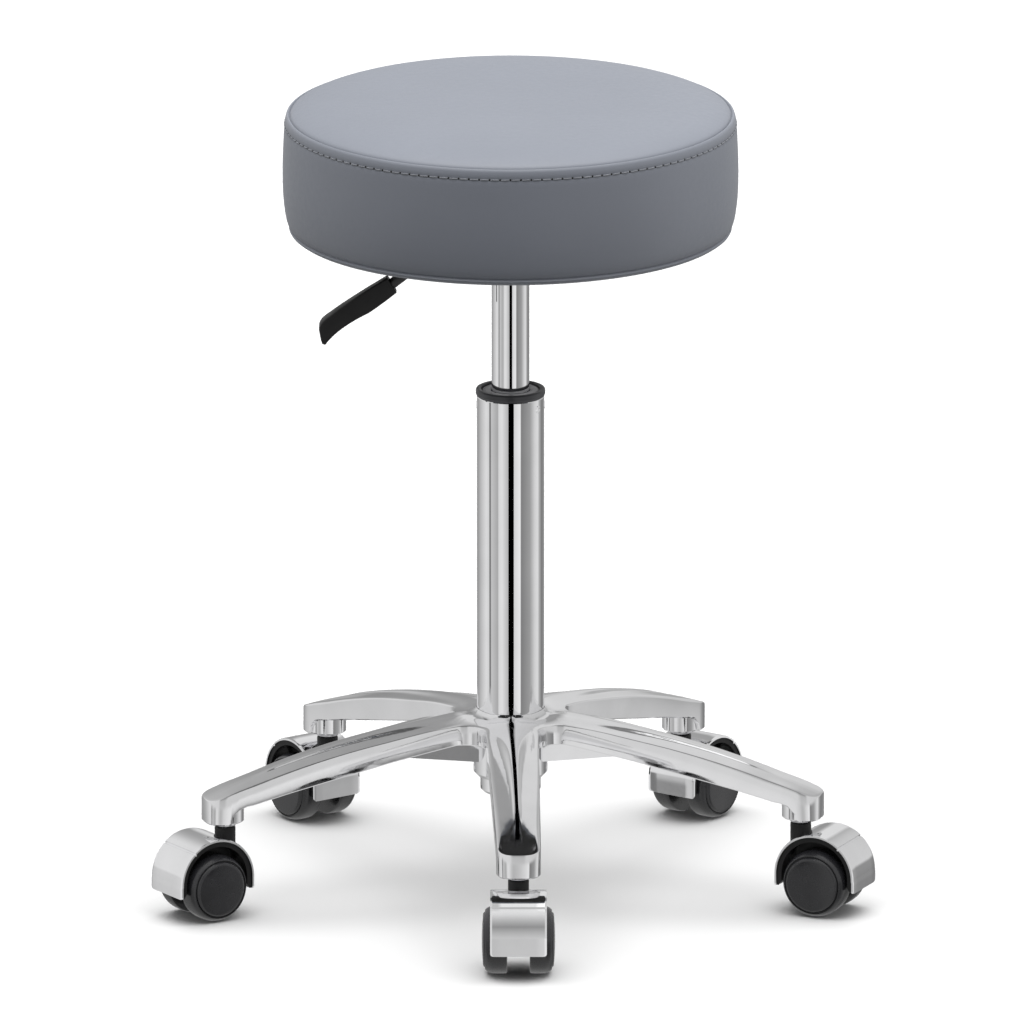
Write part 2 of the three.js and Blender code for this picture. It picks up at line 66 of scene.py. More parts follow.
column = box_centre("column_tube")
COLUMN_PLACE = Matrix.Translation((column.x, column.y, 0))


def arm_angle(number):
    stem = box_centre(f"caster_stem_{number}")
    return math.atan2(stem.y - column.y, stem.x - column.x)


def caster_place(number):
    """The caster's own frame: origin under its stem, X the way it trails, Y along the axle."""
    stem = box_centre(f"caster_stem_{number}")
    axle = box_centre(f"caster_{number}_axle")
    heading = math.atan2(axle.y - stem.y, axle.x - stem.x)
    return Matrix.Translation((stem.x, stem.y, 0)) @ Matrix.Rotation(heading, 4, "Z")


# ---- numbers ----
def smooth(value, start, end):
    """0 below start, 1 above end, and an S between them."""
    t = min(1.0, max(0.0, (value - start) / (end - start)))
    return t * t * (3 - 2 * t)


def mix(a, b, share):
    return a + (b - a) * share


def polar(radius, angle):
    return radius * math.cos(angle), radius * math.sin(angle)


# ---- mesh parts: each is (vertices in mm, faces) ----
def grid_faces(rows, columns, wrap_rows=False, wrap_columns=False):
    faces = []
    for i in range(rows if wrap_rows else rows - 1):
        for j in range(columns if wrap_columns else columns - 1):
            after = (i + 1) % rows
            beside = (j + 1) % columns
            quad = (i * columns + j, after * columns + j, after * columns + beside, i * columns + beside)
            faces.append(quad)
    return faces


def loft_faces(vertices, around):
    """Faces of a solid made of rings of points, with both ends closed."""
    rings = len(vertices) // around
    last = (rings - 1) * around
    faces = grid_faces(rings, around, wrap_columns=True)
    faces += [tuple(range(around)), tuple(range(last + around - 1, last - 1, -1))]
    return faces


def turned(profile, segments, closed=False):
    """A surface of revolution about Z from (radius, z) points; closed joins its last point to its first."""
    vertices = []
    for k in range(segments):
        cosine, sine = polar(1, 2 * math.pi * k / segments)
        vertices += [(radius * cosine, radius * sine, z) for radius, z in profile]
    return vertices, grid_faces(segments, len(profile), wrap_rows=True, wrap_columns=closed)


def prism(outline, half_width):
    """An (x, z) outline thickened along Y on both sides of the middle plane."""
    count = len(outline)
    vertices = [(x, -half_width, z) for x, z in outline]
    vertices += [(x, half_width, z) for x, z in outline]
    faces = [tuple(range(count)), tuple(range(2 * count - 1, count - 1, -1))]
    for i in range(count):
        after = (i + 1) % count
        faces.append((i, i + count, after + count, after))
    return vertices, faces


def tube(points, radius, segments):
    """A round bar along points in the XZ plane, with closed ends."""
    vertices = []
    for i, point in enumerate(points):
        along = (points[min(i + 1, len(points) - 1)] - points[max(i - 1, 0)]).normalized()
        side = Vector((0, 1, 0))
        up = along.cross(side)
        for k in range(segments):
            cosine, sine = polar(radius, 2 * math.pi * k / segments)
            vertices.append(tuple(point + side * cosine + up * sine))
    return vertices, loft_faces(vertices, segments)


def moved(part, matrix):
    vertices, faces = part
    return [tuple(matrix @ Vector(v)) for v in vertices], faces


def mirrored(part):
    """The same part on the other side of the XZ plane."""
    vertices, faces = part
    return [(x, -y, z) for x, y, z in vertices], [tuple(reversed(face)) for face in faces]


def joined(parts):
    """Several mesh parts as one, so that welding also joins them to each other."""
    vertices = []
    faces = []
    for part_vertices, part_faces in parts:
        start = len(vertices)
        vertices += part_vertices
        faces += [tuple(i + start for i in face) for face in part_faces]
    return vertices, faces


def built_mesh(name, parts, place, weld):
    """One Blender mesh in metres from mesh parts in mm, smooth apart from its sharp edges."""
    mesh = bmesh.new()
    for vertices, faces in parts:
        made = [mesh.verts.new(place @ (Vector(v) * MM)) for v in vertices]
        for face in faces:
            mesh.faces.new([made[i] for i in face])
        if weld:
            bmesh.ops.remove_doubles(mesh, verts=made, dist=weld * MM)
    bmesh.ops.dissolve_degenerate(mesh, dist=DEGENERATE_M, edges=mesh.edges)
    bmesh.ops.recalc_face_normals(mesh, faces=mesh.faces)
    data = bpy.data.meshes.new(name)
    mesh.to_mesh(data)
    mesh.free()
    data.polygons.foreach_set("use_smooth", [True] * len(data.polygons))
    data.set_sharp_from_angle(angle=math.radians(SHARP_DEG))
    return data


def round_edges(piece, width_mm):
    edge = piece.modifiers.new("Bevel", "BEVEL")
    edge.width = width_mm * MM
    edge.segments = 2
    edge.limit_method = "ANGLE"
    edge.angle_limit = math.radians(BEVEL_DEG)


def put(name, parts, body, material, nodes=(), place=COLUMN_PLACE, weld=0.01, bevel=0):
    """Makes one piece from its mesh parts, in the shared frame, and lets it ride on a CAD body."""
    data = built_mesh(name, parts, place, weld)
    data.materials.append(material)
    piece = bpy.data.objects.new(name, data)
    bpy.context.scene.collection.objects.link(piece)
    if bevel:
        round_edges(piece, bevel)
    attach(piece, body)
    if nodes:
        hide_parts(*nodes)
    return piece


# ---- materials ----
class Look:
    """A Principled material whose detail comes from textures in the shared frame, in metres."""

    def __init__(self, name, roughness, metallic=0.0):
        self.material = bpy.data.materials.new(name)
        self.material.use_nodes = True
        self.tree = self.material.node_tree
        self.shader = self.tree.nodes["Principled BSDF"]
        self.set("Roughness", roughness)
        self.set("Metallic", metallic)
        self.place = self.tree.nodes.new("ShaderNodeTexCoord").outputs["Object"]
        self.normal = None

    def set(self, socket, value):
        self.shader.inputs[socket].default_value = value

    def link(self, output, target):
        self.tree.links.new(output, target)

    def noise(self, scale, detail=3.0, stretch=None):
        node = self.tree.nodes.new("ShaderNodeTexNoise")
        node.inputs["Scale"].default_value = scale
        node.inputs["Detail"].default_value = detail
        self.link(self.stretched(stretch), node.inputs["Vector"])
        return node.outputs["Fac"]

    def cells(self, scale):
        node = self.tree.nodes.new("ShaderNodeTexVoronoi")
        node.feature = "DISTANCE_TO_EDGE"
        node.inputs["Scale"].default_value = scale
        self.link(self.place, node.inputs["Vector"])
        return node.outputs["Distance"]

    def stretched(self, stretch):
        if stretch is None:
            return self.place
        node = self.tree.nodes.new("ShaderNodeMapping")
        node.inputs["Scale"].default_value = stretch
        self.link(self.place, node.inputs["Vector"])
        return node.outputs["Vector"]

    def ranged(self, source, low, high, start=0.3, end=0.7):
        node = self.tree.nodes.new("ShaderNodeMapRange")
        for socket, value in zip(("From Min", "From Max", "To Min", "To Max"), (start, end, low, high)):
            node.inputs[socket].default_value = value
        self.link(source, node.inputs["Value"])
        return node.outputs["Result"]

    def colour(self, source, stops):
        """Base colour from a texture, through (position, colour) stops."""
        node = self.tree.nodes.new("ShaderNodeValToRGB")
        ramp = node.color_ramp
        while len(ramp.elements) < len(stops):
            ramp.elements.new(0.5)
        for element, (position, value) in zip(ramp.elements, stops):
            element.position = position
            element.color = (*value, 1)
        self.link(source, node.inputs["Fac"])
        self.link(node.outputs["Color"], self.shader.inputs["Base Color"])

    def rough(self, source, low, high):
        self.link(self.ranged(source, low, high), self.shader.inputs["Roughness"])

    def bump(self, source, height_mm, strength=1.0):
        node = self.tree.nodes.new("ShaderNodeBump")
        node.inputs["Distance"].default_value = height_mm * MM
        node.inputs["Strength"].default_value = strength
        self.link(source, node.inputs["Height"])
        if self.normal is not None:
            self.link(self.normal, node.inputs["Normal"])
        self.normal = node.outputs["Normal"]
        self.link(self.normal, self.shader.inputs["Normal"])


def shades(value, spread, tint=(1, 1, 1)):
    """Two colour stops round a grey value, for a texture's darker and lighter parts."""
    low = tuple(value * (1 - spread) * t for t in tint)
    high = tuple(value * (1 + spread) * t for t in tint)
    return [(0.3, low), (0.7, high)]


def metal(name, value, low_rough, high_rough, wave_mm=0.0, tint=(1, 1, 1.01), stretch=None):
    look = Look(name, low_rough, 1.0)
    look.colour(look.noise(35, 4, stretch), shades(value, 0.03, tint))
    look.rough(look.noise(260, 5, stretch), low_rough, high_rough)
    if wave_mm:
        look.bump(look.noise(28, 2), wave_mm)
    return look.material


def plastic(name, value, roughness, grain_mm=0.02, scale=1500, tint=(1, 1, 1.04), gloss=0.5):
    look = Look(name, roughness)
    look.colour(look.noise(55, 5), shades(value, 0.14, tint))
    look.rough(look.noise(180, 4), roughness - 0.06, roughness + 0.08)
    look.bump(look.noise(scale, 3), grain_mm)
    look.set("Specular IOR Level", gloss)
    return look.material


def leather():
    look = Look("grey_leather", 0.5)
    look.colour(look.noise(9, 5), shades(0.185, 0.03, (0.93, 1.0, 1.17)))
    look.rough(look.noise(220, 4), 0.42, 0.56)
    look.set("Sheen Weight", 0.12)
    look.set("Sheen Roughness", 0.45)
    look.bump(look.noise(30, 2), 0.1, 0.6)
    look.bump(look.cells(1000), 0.05, 0.7)
    look.bump(look.noise(2600, 2), 0.02)
    return look.material


def fabric(name, value):
    look = Look(name, 0.95)
    look.colour(look.noise(900, 2), shades(value, 0.35))
    look.bump(look.noise(1400, 2, (1, 0.35, 1)), 0.15)
    look.set("Sheen Weight", 0.3)
    return look.material


def wood(name):
    look = Look(name, 0.7)
    look.colour(look.noise(60, 6, (0.3, 3, 12)), [(0.3, (0.32, 0.2, 0.1)), (0.7, (0.55, 0.38, 0.21))])
    look.bump(look.noise(300, 4, (0.3, 3, 12)), 0.1)
    return look.material


def wheel_plastic():
    look = Look("wheel_plastic", 0.45)
    look.colour(look.noise(60, 6), shades(0.017, 0.18, (1, 1, 1.15)))
    look.rough(look.noise(150, 5), 0.2, 0.32)
    look.set("Coat Weight", 0.3)
    look.set("Coat Roughness", 0.12)
    look.bump(look.noise(1300, 3), 0.025)
    return look.material


CHROME = metal("chrome", 0.92, 0.015, 0.035)
HOOD_CHROME = metal("hood_chrome", 0.97, 0.03, 0.07, 0.01)
CAST = metal("polished_aluminium", 0.88, 0.04, 0.1, 0.04)
ZINC = metal("zinc_steel", 0.55, 0.25, 0.4, tint=(1, 1, 1.03))
BRASS = metal("brass", 0.5, 0.25, 0.35, tint=(1.2, 0.92, 0.45))
BLACK_STEEL = plastic("black_steel", 0.02, 0.4, 0.01)
BLACK_PLASTIC = plastic("black_plastic", 0.008, 0.42, gloss=0.3)
COLLAR_PLASTIC = plastic("collar_plastic", 0.06, 0.4, tint=(0.98, 1, 1.1))
WHEEL = wheel_plastic()
BUSH = plastic("bush_plastic", 0.42, 0.4)
RUBBER = plastic("buffer_rubber", 0.02, 0.8)
# near black: painted shade standing in for the inside of each needle hole
HOLE_SHADE = plastic("needle_hole_shade", 0.012, 0.9)
FABRIC = fabric("black_fabric", 0.03)
PLYWOOD = wood("plywood")
LEATHER = leather()
THREAD = plastic("thread", 0.21, 0.6, 0.05, 2500, (0.96, 1.0, 1.1))

KEPT_NODES = (
    ("guide_bush", "bush_plastic", BUSH),
    ("thrust_washer_lower", "zinc_steel", ZINC),
    ("ball_cage", "brass", BRASS),
    ("thrust_washer_upper", "zinc_steel", ZINC),
    ("rubber_buffer", "buffer_rubber", RUBBER),
    ("piston_rod", "chrome", CHROME),
    ("piston", "zinc_steel", ZINC),
    ("rod_clip", "zinc_steel", ZINC),
    ("rod_guide", "black_plastic", BLACK_PLASTIC),
    ("valve_body", "brass", BRASS),
    ("release_pin", "zinc_steel", ZINC),
    ("lever_pivot_pin", "zinc_steel", ZINC),
    ("seat_board", "plywood", PLYWOOD),
    *((f"caster_{number}_axle", "zinc_steel", ZINC) for number in range(1, ARM_COUNT + 1)),
)


def paint_kept_nodes():
    for name, slot, material in KEPT_NODES:
        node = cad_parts[name]
        node.data.materials.clear()
        node.data.materials.append(material)


# ---- cast base ----
STEM_CIRCLE = 224
TIP_RADIUS = 16.5
TIP_SQUARENESS = 2.7
WEB_FILLET = 16
TAPER = math.atan(3 / 174)
TUBE_RADIUS = 25
TUBE_HOLE = 25.2
WALL = 3.5
SKIN = 5
LIP = 1
SPINE_END = 232
SPINE_HALF_WIDTH = 1.7
BOSS_BOTTOM = 69.5
BOSS_START = 209
BOSS_RISE = 13.5
BOSS_RUN = 17
WEB_STEPS = 10
SIDE_STEPS = 30
TIP_STEPS = 14
# the arm's top at ARM_MIDDLE, and how its fall begins and grows on the way out
ARM_MIDDLE = 75
ARM_TOP = 129.5
ARM_SLOPE = 0.12
ARM_CURVE = 0.00079
FLARE_HEIGHT = 4.1
FLARE_WIDTH = 9
HUB_DIP = 2.4
RIDGE_HEIGHT = 4.1
ROOF_SLOPE = 0.13
# heights of the side walls' foot, and widths of the top edge's rounding, at some radii
FOOT = ((53, 100, 180, 209), (115.5, 107, 90, 83))
ROUNDING = ((0, 140, 212, 232, 240), (1.4, 1.4, 2.6, 1.9, 1.7))
# how far from the spine to the rounded edge each lengthwise line of the top lies
RIBS = (0, 0.025, 0.05, 0.075, 0.1, 0.14, 0.19, 0.25, 0.33, 0.42, 0.52, 0.63, 0.75, 0.88, 1)


def web_centre():
    """Centre of the rounded web between two arms."""
    half_width = TIP_RADIUS / math.cos(TAPER) + STEM_CIRCLE * math.tan(TAPER)
    distance = (half_width * math.cos(TAPER) + WEB_FILLET) / math.sin(SECTOR / 2 + TAPER)
    return Vector(polar(distance, SECTOR / 2))


def star_stations():
    """Half an arm as (inner point, outline point, outward direction, whether it is round the tube)."""
    return web_stations() + side_stations() + tip_stations()


def web_stations():
    centre = web_centre()
    start = math.pi + SECTOR / 2
    sweep = math.radians(54) - TAPER
    stations = []
    for k in range(WEB_STEPS + 1):
        share = k / WEB_STEPS
        direction = Vector(polar(1, start + share * sweep))
        inner = Vector(polar(TUBE_HOLE, SECTOR / 2 * (1 - share)))
        stations.append((inner, centre + direction * WEB_FILLET, -direction, True))
    return stations


def side_stations():
    side = Vector((math.sin(TAPER), math.cos(TAPER)))
    start = web_centre() - side * WEB_FILLET
    end = Vector((STEM_CIRCLE, 0)) + side * TIP_RADIUS
    stations = []
    for k in range(1, SIDE_STEPS + 1):
        share = k / SIDE_STEPS
        inner = Vector((mix(TUBE_HOLE, STEM_CIRCLE, share), 0))
        stations.append((inner, start.lerp(end, share), side, False))
    return stations


def tip_stations():
    centre = Vector((STEM_CIRCLE, 0))
    stations = []
    for k in range(1, TIP_STEPS + 1):
        share = k / TIP_STEPS
        inner = Vector((mix(STEM_CIRCLE, SPINE_END, share), 0))
        point, direction = squared_circle((math.pi / 2 - TAPER) * (1 - share))
        stations.append((inner, centre + point * TIP_RADIUS, direction, False))
    return stations


def squared_circle(angle):
    """A point of a slightly squared unit circle, and the direction square to it there."""
    cosine, sine = polar(1, angle)
    size = (abs(cosine) ** TIP_SQUARENESS + abs(sine) ** TIP_SQUARENESS) ** (-1 / TIP_SQUARENESS)
    point = Vector((cosine, sine)) * size
    slope = Vector((abs(point.x) ** (TIP_SQUARENESS - 1), abs(point.y) ** (TIP_SQUARENESS - 1)))
    return point, slope.normalized()


def star_top(point):
    """Height of the cast top: a falling arm, a flare to the tube, a fading ridge and a slight roof."""
    radius = point.length
    out = radius - ARM_MIDDLE
    height = ARM_TOP - ARM_SLOPE * out - ARM_CURVE * out**2
    height += FLARE_HEIGHT * max(0, 1 - (radius - TUBE_HOLE) / FLARE_WIDTH) ** 2
    height -= HUB_DIP * math.exp(-(radius - TUBE_RADIUS) / 70)
    aside = max(0, abs(point.y) - SPINE_HALF_WIDTH)
    height += ridge_height(radius) * max(0, 1 - (aside / ridge_half_width(radius)) ** 2) ** 2
    slope = ROOF_SLOPE * smooth(radius, 60, 110) * (1 - 0.6 * smooth(radius, 200, 225))
    return height - slope * (math.hypot(aside, 2) - 2)


def ridge_height(radius):
    """The ridge along the arm: low against the tube, highest just outside it, gone before the tip."""
    height = RIDGE_HEIGHT * math.exp(-(radius - TUBE_RADIUS) / 65) + 0.5
    return height * (1 - smooth(radius, 180, 205)) * mix(0.3, 1, smooth(radius, TUBE_RADIUS, 42))


def ridge_half_width(radius):
    """As wide as the tube at the tube, and narrowing fast at first."""
    return max(1.5, 26 * math.exp(-(((radius - TUBE_RADIUS) / 62) ** 1.25)))


def star_bottom(radius):
    """Height of the side walls' foot, which curves down to the boss that holds the stem."""
    across = (radius - BOSS_START) / BOSS_RUN
    if across > 1:
        return BOSS_BOTTOM
    if across > 0:
        return BOSS_BOTTOM + BOSS_RISE * math.sqrt(max(0, 1 - across**2))
    return float(np.interp(radius, *FOOT))


def star_section(station):
    """One cross-section, from the top of the spine round the outside to the ceiling of the channel."""
    inner, outer, outward, _ = station
    bevel = float(np.interp(outer.length, *ROUNDING))
    edge = outer - outward * bevel
    points = []
    for share in RIBS:
        at = inner.lerp(edge, share)
        points.append((at.x, at.y, star_top(at)))
    rim = star_top(edge) - bevel
    foot = star_bottom(outer.length)
    half = outer - outward * bevel * 0.3
    lip = outer - outward * LIP
    points.append((half.x, half.y, rim + bevel * 0.7))
    points.append((outer.x, outer.y, rim))
    points.append((outer.x, outer.y, foot + LIP))
    points.append((lip.x, lip.y, foot))
    return points + channel_section(inner, outer - outward * WALL, foot)


def channel_section(inner, wall, foot):
    """The inside of the side wall and the ceiling, open below from a little way outside the hub."""
    ceiling = mix(foot, star_top(wall) - SKIN, smooth(wall.length, 60, 76))
    under = mix(star_bottom(inner.length), star_top(inner) - SKIN, smooth(inner.length, 52, 72))
    middle = wall.lerp(inner, 0.5)
    return [
        (wall.x, wall.y, foot),
        (wall.x, wall.y, ceiling),
        (middle.x, middle.y, (ceiling + under) / 2),
        (inner.x, inner.y, under),
    ]


def star_half():
    """Half an arm, whose sections round the tube also close against the tube's hole."""
    stations = star_stations()
    vertices = [point for station in stations for point in star_section(station)]
    columns = len(vertices) // len(stations)
    last = columns - 1
    faces = grid_faces(len(stations), columns)
    for i in range(len(stations) - 1):
        if stations[i + 1][3]:
            here = i * columns
            after = here + columns
            faces.append((here + last, after + last, after, here))
    return vertices, faces


def star_base():
    half = star_half()
    arm = [half, mirrored(half)]
    keel = prism(((22, 97), (86, 106.5), (86, 122), (22, 128)), 6)
    socket_profile = ((5.8, 69.5), (13.2, 69.5), (14, 70.3), (14, 88), (5.8, 88))
    socket = moved(turned(socket_profile, 40, True), Matrix.Translation((STEM_CIRCLE, 0, 0)))
    sleeve = turned(((22.7, 85), (24.6, 85), (27.4, 88), (27.4, 118), (22.7, 118)), 72, True)
    skin = []
    extras = [sleeve]
    for number in range(1, ARM_COUNT + 1):
        turn = Matrix.Rotation(arm_angle(number), 4, "Z")
        skin += [moved(part, turn) for part in arm]
        extras += [moved(keel, turn), moved(socket, turn)]
    return [joined(skin), *extras]


# ---- gas spring ----
MARK_DEGREES = (-35, 0, 180)
MARK_Z = 367.9


def column_pieces():
    outside = ((20, 72.5), (22.4, 74.9), (22.4, 83), (25, 136), (25, 374.6), (24.6, 375.2))
    inside = ((23.4, 375.2), (23.4, 137), (20.9, 84), (20.9, 76), (5, 76), (5, 72.5))
    put("column_tube", [turned(outside + inside, 128, True)], "base", CHROME, ["column_tube"])
    side = ((14.6, 375.4), (25.1, 375.4), (25.4, 376.4), (25.7, 376.8), (25.7, 379.9), (25.2, 380.6))
    top = ((24.6, 380.9), (22.4, 380.8), (21.8, 380.4), (21.5, 378.6))
    bore = ((14.6, 378.6),)
    collar = turned(side + top + bore, 112, True)
    put("column_collar", [collar], "base", COLLAR_PLASTIC, ["column_collar"])
    lip = ((14.7, 378.5), (20.8, 378.5), (20.6, 379.4), (19.6, 379.8), (15.6, 379.8), (14.7, 379.4))
    put("column_bush_lip", [turned(lip, 112, True)], "base", BUSH)
    skin = ((14, 190), (14, 481), (13, 482), (3.3, 482), (3.3, 478), (12.4, 478), (12.4, 190))
    put("pressure_tube", [turned(skin, 96, True)], "seat", CHROME, ["pressure_tube"])


def tube_marks():
    """The small pressed marks near the top of the outer tube that hold its guide bush."""
    rim = ((0, -0.8), (1, -0.6), (1.7, 0.05), (2.1, 0.34), (2.6, 0.3), (3.1, -0.15), (2.9, -0.8), (0, -1))
    stand = Matrix.Translation((TUBE_RADIUS, 0, MARK_Z)) @ Matrix.Rotation(math.pi / 2, 4, "Y")
    marks = []
    for degrees in MARK_DEGREES:
        outward = Matrix.Rotation(math.radians(degrees), 4, "Z")
        marks.append(moved(turned(rim, 20), outward @ stand))
    put("column_tube_marks", marks, "base", CHROME)


# ---- casters ----
TRAIL = 19.5
AXLE_Z = 25
HOOD_Z = 30
HOOD_RADIUS = 32
HOOD_THICKNESS = 1.3
HOOD_HALF_WIDTH = 20.9
HOOD_CORNER = 2.2
HOOD_ACROSS = (-1, -0.985, -0.955, -0.9, -0.6, -0.2, 0.2, 0.6, 0.9, 0.955, 0.985, 1)
SKIRT_Z = 20.5
SKIRT_RISES = (0, 0.25, 0.6, 1.1, 1.8, 2.6, 4, 6, 8)
CREASE_DEG = 50
CREASE_DEPTH = 0.9
CREASE_STEPS = (-1.9, -1.3, -0.6, 0.6, 1.3, 1.9)
LINER_OUTER = 30.3
LINER_INNER = 26.2


def hood_path():
    """(x, z, distance to the nearer skirt edge) along the hood's outside, trailing side first."""
    trailing = [(TRAIL + HOOD_RADIUS, SKIRT_Z + rise, rise) for rise in SKIRT_RISES]
    leading = [(TRAIL - HOOD_RADIUS, SKIRT_Z + rise, rise) for rise in reversed(SKIRT_RISES)]
    crease = [CREASE_DEG + step for step in CREASE_STEPS]
    arch = [hood_arc_point(degrees) for degrees in sorted([*range(0, 181, 3), *crease])]
    return trailing + arch + leading


def hood_arc_point(degrees):
    """A point of the arch, which has a groove across it and stands a little prouder in front of that."""
    angle = math.radians(degrees)
    groove = CREASE_DEPTH * max(0, 1 - (abs(degrees - CREASE_DEG) / 1.7) ** 2)
    step = 0.3 * smooth(degrees, CREASE_DEG, CREASE_DEG + 2)
    radius = HOOD_RADIUS - 0.3 - groove + step
    nearest = HOOD_Z - SKIRT_Z + HOOD_RADIUS * min(angle, math.pi - angle)
    return TRAIL + radius * math.cos(angle), HOOD_Z + radius * math.sin(angle), nearest


def hood():
    outer = []
    inner = []
    for x, z, distance in hood_path():
        missing = HOOD_CORNER - math.sqrt(HOOD_CORNER**2 - max(0, HOOD_CORNER - distance) ** 2)
        half = HOOD_HALF_WIDTH - missing
        for share in HOOD_ACROSS:
            turn = 0.35 * smooth(abs(share), 0.93, 1)
            x_outer, z_outer = towards_hood_centre(x, z, turn)
            x_inner, z_inner = towards_hood_centre(x_outer, z_outer, HOOD_THICKNESS)
            outer.append((x_outer, share * half, z_outer))
            inner.append((x_inner, share * half, z_inner))
    return sheet(outer, inner, len(HOOD_ACROSS))


def towards_hood_centre(x, z, distance):
    """The point moved inward by distance, square to the arch or its straight legs."""
    dx = TRAIL - x
    dz = HOOD_Z - z if z > HOOD_Z else 0
    length = math.hypot(dx, dz)
    return x + dx / length * distance, z + dz / length * distance


def sheet(outer, inner, columns):
    """A bent sheet from matching rows of points on its two sides, closed round its border."""
    total = len(outer)
    rows = total // columns
    faces = grid_faces(rows, columns)
    faces += [tuple(i + total for i in reversed(face)) for face in faces]
    border = list(range(columns))
    border += [i * columns + columns - 1 for i in range(1, rows)]
    border += [(rows - 1) * columns + j for j in range(columns - 2, -1, -1)]
    border += [i * columns for i in range(rows - 2, 0, -1)]
    for here, after in zip(border, border[1:] + border[:1]):
        faces.append((here, after, after + total, here + total))
    return outer + inner, faces


def liner_arc(radius, degrees):
    points = []
    for angle in degrees:
        x, z = polar(radius, math.radians(angle))
        points.append((TRAIL + x, HOOD_Z + z))
    return points


def liner():
    """The black arch of the fork that the hood is pressed onto."""
    outline = [(TRAIL + LINER_OUTER, SKIRT_Z + 0.4)]
    outline += liner_arc(LINER_OUTER, range(0, 181, 6))
    outline += [(TRAIL - LINER_OUTER, SKIRT_Z + 0.4), (TRAIL - LINER_OUTER + 1.5, SKIRT_Z + 0.2)]
    outline += [(TRAIL - LINER_INNER, SKIRT_Z + 4)]
    outline += liner_arc(LINER_INNER, range(180, -1, -6))
    outline += [(TRAIL + LINER_INNER, SKIRT_Z + 4), (TRAIL + LINER_OUTER - 1.5, SKIRT_Z + 0.2)]
    return prism(outline, 19.7)


def housing():
    web = prism(((-4, 42), (8, 17), (28, 18), (40, 48), (TRAIL, 57), (4, 52)), 7.6)
    neck = turned(((4.3, 41), (7.75, 41), (7.75, 64.6), (7.2, 65.6), (6.6, 66), (4.3, 66)), 40, True)
    return [liner(), web, neck]


def wheel():
    """The wheel beside +Y, turned about the axle."""
    bore = ((0, 24.3), (3.3, 24.3), (3.3, 8.6), (3.8, 8.3), (23.2, 8.3), (24.4, 8.6), (24.9, 9.6))
    tread = ((25, 11.5), (25, 17), (24.85, 19.3), (24.3, 21.4), (23.4, 23.1), (22.5, 24.2))
    groove = ((22, 24.6), (21.8, 24.4), (21.5, 23.7), (21.1, 23.7), (20.5, 24.8), (19.9, 25.6), (19.2, 26))
    face = ((18, 26.15), (15, 26.4), (10, 26.75), (5, 26.95), (0, 27))
    place = Matrix.Translation((TRAIL, 0, AXLE_Z)) @ Matrix.Rotation(-math.pi / 2, 4, "X")
    return moved(turned(bore + tread + groove + face, 72), place)


def stem():
    tail = ((0, 45), (4, 45), (4, 66.3), (7.6, 66.3), (8, 66.7), (8, 68.8), (7.6, 69.2))
    return turned(tail + ((5.5, 69.2), (5.5, 84), (0, 84)), 40)


def casters():
    wheel_part = wheel()
    sides = (("left", wheel_part), ("right", mirrored(wheel_part)))
    for number in range(1, ARM_COUNT + 1):
        place = caster_place(number)
        name = f"caster_{number}"
        kept = [f"{name}_hood"]
        put(f"{name}_hood_plate", [hood()], name, HOOD_CHROME, kept, place, bevel=0.25)
        kept = [f"{name}_housing"]
        put(f"{name}_core", housing(), name, BLACK_PLASTIC, kept, place, bevel=0.4)
        for side, part in sides:
            body = f"{side}_wheel_{number}"
            kept = [f"{name}_wheel_{side}"]
            put(f"{body}_tyre", [part], body, WHEEL, kept, place)
        put(f"{name}_pin", [stem()], "base", ZINC, [f"caster_stem_{number}"], place)


# ---- lever ----
ROD_RADIUS = 4
ROD_START = Vector((3, 0, 491.9))
ROD_BEND = Vector((-54, 0, 486.7))
GRIP_ROOT = Vector((-87.5, 0, 460.2))
GRIP_DIRECTION = Vector((-0.79, 0, -0.613)).normalized()
GRIP_STEPS = 12
# how far across the grip each of its lengthwise lines lies, and how wide the grip is there
GRIP_LINES = ((0, 0.72), (0.05, 0.94), (0.14, 1), (0.86, 0.96), (0.95, 0.88), (1, 0.66))


def upright(x, z):
    """A point in the lever's own upright plane."""
    return Vector((x, 0, z))


def curve_through(a, b, c, count):
    """Points on the quadratic curve from a to c that bends towards b."""
    points = []
    for k in range(count + 1):
        t = k / count
        points.append(a * (1 - t) ** 2 + b * 2 * t * (1 - t) + c * t * t)
    return points


def lever_rod():
    end = GRIP_ROOT + GRIP_DIRECTION * 14
    bend = curve_through(ROD_START.lerp(ROD_BEND, 0.82), ROD_BEND, ROD_BEND.lerp(end, 0.2), 10)
    return tube([ROD_START, *bend, end], ROD_RADIUS, 28)


def lever_grip():
    """The moulded grip: an upper and a lower edge line, lofted and wider towards its end."""
    upper = curve_through(upright(-91, 466), upright(-116, 451), upright(-137, 435), GRIP_STEPS)
    upper += curve_through(upright(-137, 435), upright(-142, 431), upright(-141.6, 426.4), 4)[1:]
    upper += [upright(-140.2, 418.6), upright(-139.2, 416)]
    lower = curve_through(upright(-84, 454.3), upright(-98, 443), upright(-104.7, 438.8), 6)
    tip = curve_through(upright(-104.7, 438.8), upright(-127, 428), upright(-136.6, 415.4), GRIP_STEPS)
    lower += tip[1:]
    vertices = []
    for k, (high, low) in enumerate(zip(upper, lower)):
        half = mix(5.4, 8, smooth(k, 0, len(upper) - 1))
        ring = [(high.lerp(low, share), half * width) for share, width in GRIP_LINES]
        vertices += [(p.x, -w, p.z) for p, w in ring]
        vertices += [(p.x, w, p.z) for p, w in reversed(ring)]
    return vertices, loft_faces(vertices, 2 * len(GRIP_LINES))


def lever_pieces():
    put("lever_bar", [lever_rod()], "lever", BLACK_STEEL, ["lever_rod"])
    put("lever_handle", [lever_grip()], "lever", BLACK_PLASTIC, ["lever_grip"], bevel=0.5)


